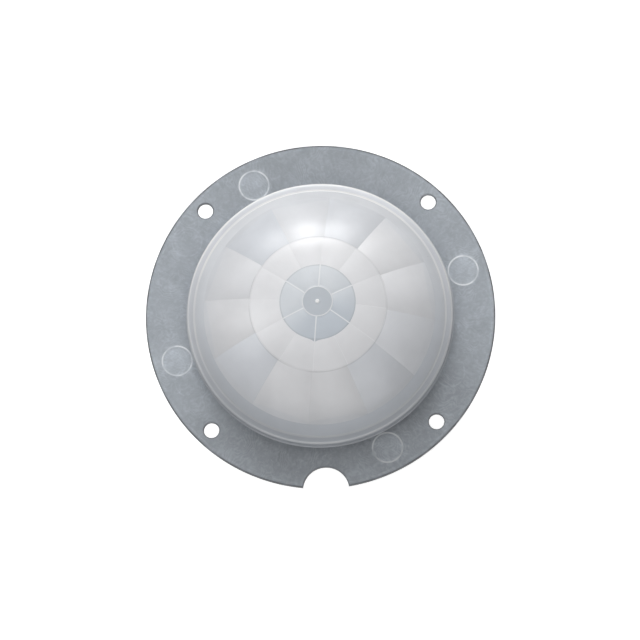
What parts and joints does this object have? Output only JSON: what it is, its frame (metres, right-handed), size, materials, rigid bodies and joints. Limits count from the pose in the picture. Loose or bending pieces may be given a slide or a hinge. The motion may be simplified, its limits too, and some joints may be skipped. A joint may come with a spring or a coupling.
{
  "type": "motion sensor",
  "caption": "Flange-mount infrared motion sensor: translucent faceted Fresnel dome on a round flange, cup housing, board, detector, trimmers, switches and plug.",
  "frame": {"origin": "centre of the four panel screw holes, on the lens flange's front face", "axes": "+Z out of the dome, +Y towards the cable plug, the locating notch is on -Y"},
  "size_m": [0.08, 0.0797, 0.0435],
  "materials": {
    "lens_polyethylene": "translucent moulded polyethylene, satin flange and smooth dome",
    "silicone": "soft grey silicone",
    "housing_plastic": "fine spark-eroded texture",
    "zinc_steel": "zinc plated",
    "board_laminate": "green solder mask",
    "white_plastic": "fine satin",
    "nickel_steel": "nickel plated, drawn",
    "tinned_copper": "tin plated",
    "sensing_ceramic": "fired ceramic",
    "filter_silicon": "polished infrared filter",
    "black_moulding": "moulded epoxy",
    "relay_plastic": "smooth moulded cover",
    "can_aluminium": "drawn can",
    "led_epoxy": "tinted clear epoxy",
    "sensor_epoxy": "clear epoxy",
    "green_plastic": "moulded polyamide",
    "clamp_brass": "nickel flashed brass",
    "switch_plastic": "moulded",
    "trimmer_plastic": "moulded",
    "button_plastic": "moulded"
  },
  "bodies": {
    "sensor": {"fresnel_lens": "lens_polyethylene", "lens_gasket": "silicone", "rear_housing": "housing_plastic", "housing_screws": "zinc_steel", "board_screws": "zinc_steel", "main_board": "board_laminate", "detector_spacer": "white_plastic", "detector_base": "nickel_steel", "detector_can": "nickel_steel", "detector_leads": "tinned_copper", "detector_element": "sensing_ceramic", "detector_window": "filter_silicon", "controller_ic": "black_moulding", "voltage_regulator": "black_moulding", "relay_base": "black_moulding", "relay_cover": "relay_plastic", "capacitor_base": "black_moulding", "capacitor_can": "can_aluminium", "indicator_led": "led_epoxy", "light_sensor": "sensor_epoxy", "connector_header": "green_plastic", "header_pins": "tinned_copper", "switch_body": "switch_plastic", "button_base": "black_moulding", "time_trimmer_base": "trimmer_plastic", "sensitivity_trimmer_base": "trimmer_plastic", "light_trimmer_base": "trimmer_plastic"},
    "plug": {"plug_body": "green_plastic", "plug_contacts": "tinned_copper"},
    "test_button": {"button_plunger": "button_plastic"},
    "time_knob": {"time_trimmer_rotor": "white_plastic"},
    "sensitivity_knob": {"sensitivity_trimmer_rotor": "white_plastic"},
    "light_knob": {"light_trimmer_rotor": "white_plastic"},
    "switch_1": {"switch_slider_1": "white_plastic"},
    "switch_2": {"switch_slider_2": "white_plastic"},
    "switch_3": {"switch_slider_3": "white_plastic"},
    "screw_1": {"clamp_screw_1": "zinc_steel"},
    "clamp_1": {"wire_clamp_1": "clamp_brass"},
    "screw_2": {"clamp_screw_2": "zinc_steel"},
    "clamp_2": {"wire_clamp_2": "clamp_brass"},
    "screw_3": {"clamp_screw_3": "zinc_steel"},
    "clamp_3": {"wire_clamp_3": "clamp_brass"}
  },
  "joints": [
    {"name": "time_turn", "type": "hinge", "parent": "sensor", "child": "time_knob", "pos_m": [-0.012, -0.013, -0.024], "axis": [0, 0, -1], "range_deg": [-120, 120]},
    {"name": "sensitivity_turn", "type": "hinge", "parent": "sensor", "child": "sensitivity_knob", "pos_m": [0, -0.013, -0.024], "axis": [0, 0, -1], "range_deg": [-120, 120]},
    {"name": "light_turn", "type": "hinge", "parent": "sensor", "child": "light_knob", "pos_m": [0.012, -0.013, -0.024], "axis": [0, 0, -1], "range_deg": [-120, 120]},
    {"name": "switch_1_slide", "type": "slide", "parent": "sensor", "child": "switch_1", "axis": [0, 1, 0], "range_m": [0, 0.0012]},
    {"name": "switch_2_slide", "type": "slide", "parent": "sensor", "child": "switch_2", "axis": [0, 1, 0], "range_m": [0, 0.0012]},
    {"name": "switch_3_slide", "type": "slide", "parent": "sensor", "child": "switch_3", "axis": [0, 1, 0], "range_m": [0, 0.0012]},
    {"name": "test_press", "type": "slide", "parent": "sensor", "child": "test_button", "axis": [0, 0, 1], "range_m": [0, 0.0005], "stiffness_N_per_m": 1500, "springref_m": -0.0003},
    {"name": "plug_pull", "type": "slide", "parent": "sensor", "child": "plug", "axis": [0, 1, 0], "range_m": [0, 0.014]},
    {"name": "screw_1_turn", "type": "hinge", "parent": "plug", "child": "screw_1", "pos_m": [-0.00381, 0.0333, -0.0175], "axis": [0, 0, 1], "range_deg": [0, 1080]},
    {"name": "clamp_1_rise", "type": "slide", "parent": "plug", "child": "clamp_1", "axis": [0, 0, -1], "range_m": [0, 0.0012]},
    {"name": "screw_2_turn", "type": "hinge", "parent": "plug", "child": "screw_2", "pos_m": [0, 0.0333, -0.0175], "axis": [0, 0, 1], "range_deg": [0, 1080]},
    {"name": "clamp_2_rise", "type": "slide", "parent": "plug", "child": "clamp_2", "axis": [0, 0, -1], "range_m": [0, 0.0012]},
    {"name": "screw_3_turn", "type": "hinge", "parent": "plug", "child": "screw_3", "pos_m": [0.00381, 0.0333, -0.0175], "axis": [0, 0, 1], "range_deg": [0, 1080]},
    {"name": "clamp_3_rise", "type": "slide", "parent": "plug", "child": "clamp_3", "axis": [0, 0, -1], "range_m": [0, 0.0012]}
  ],
  "couplings": [
    {"joint": "screw_1_turn", "follows": "clamp_1_rise", "rad_per_m": 15706},
    {"joint": "screw_2_turn", "follows": "clamp_2_rise", "rad_per_m": 15706},
    {"joint": "screw_3_turn", "follows": "clamp_3_rise", "rad_per_m": 15706}
  ]
}
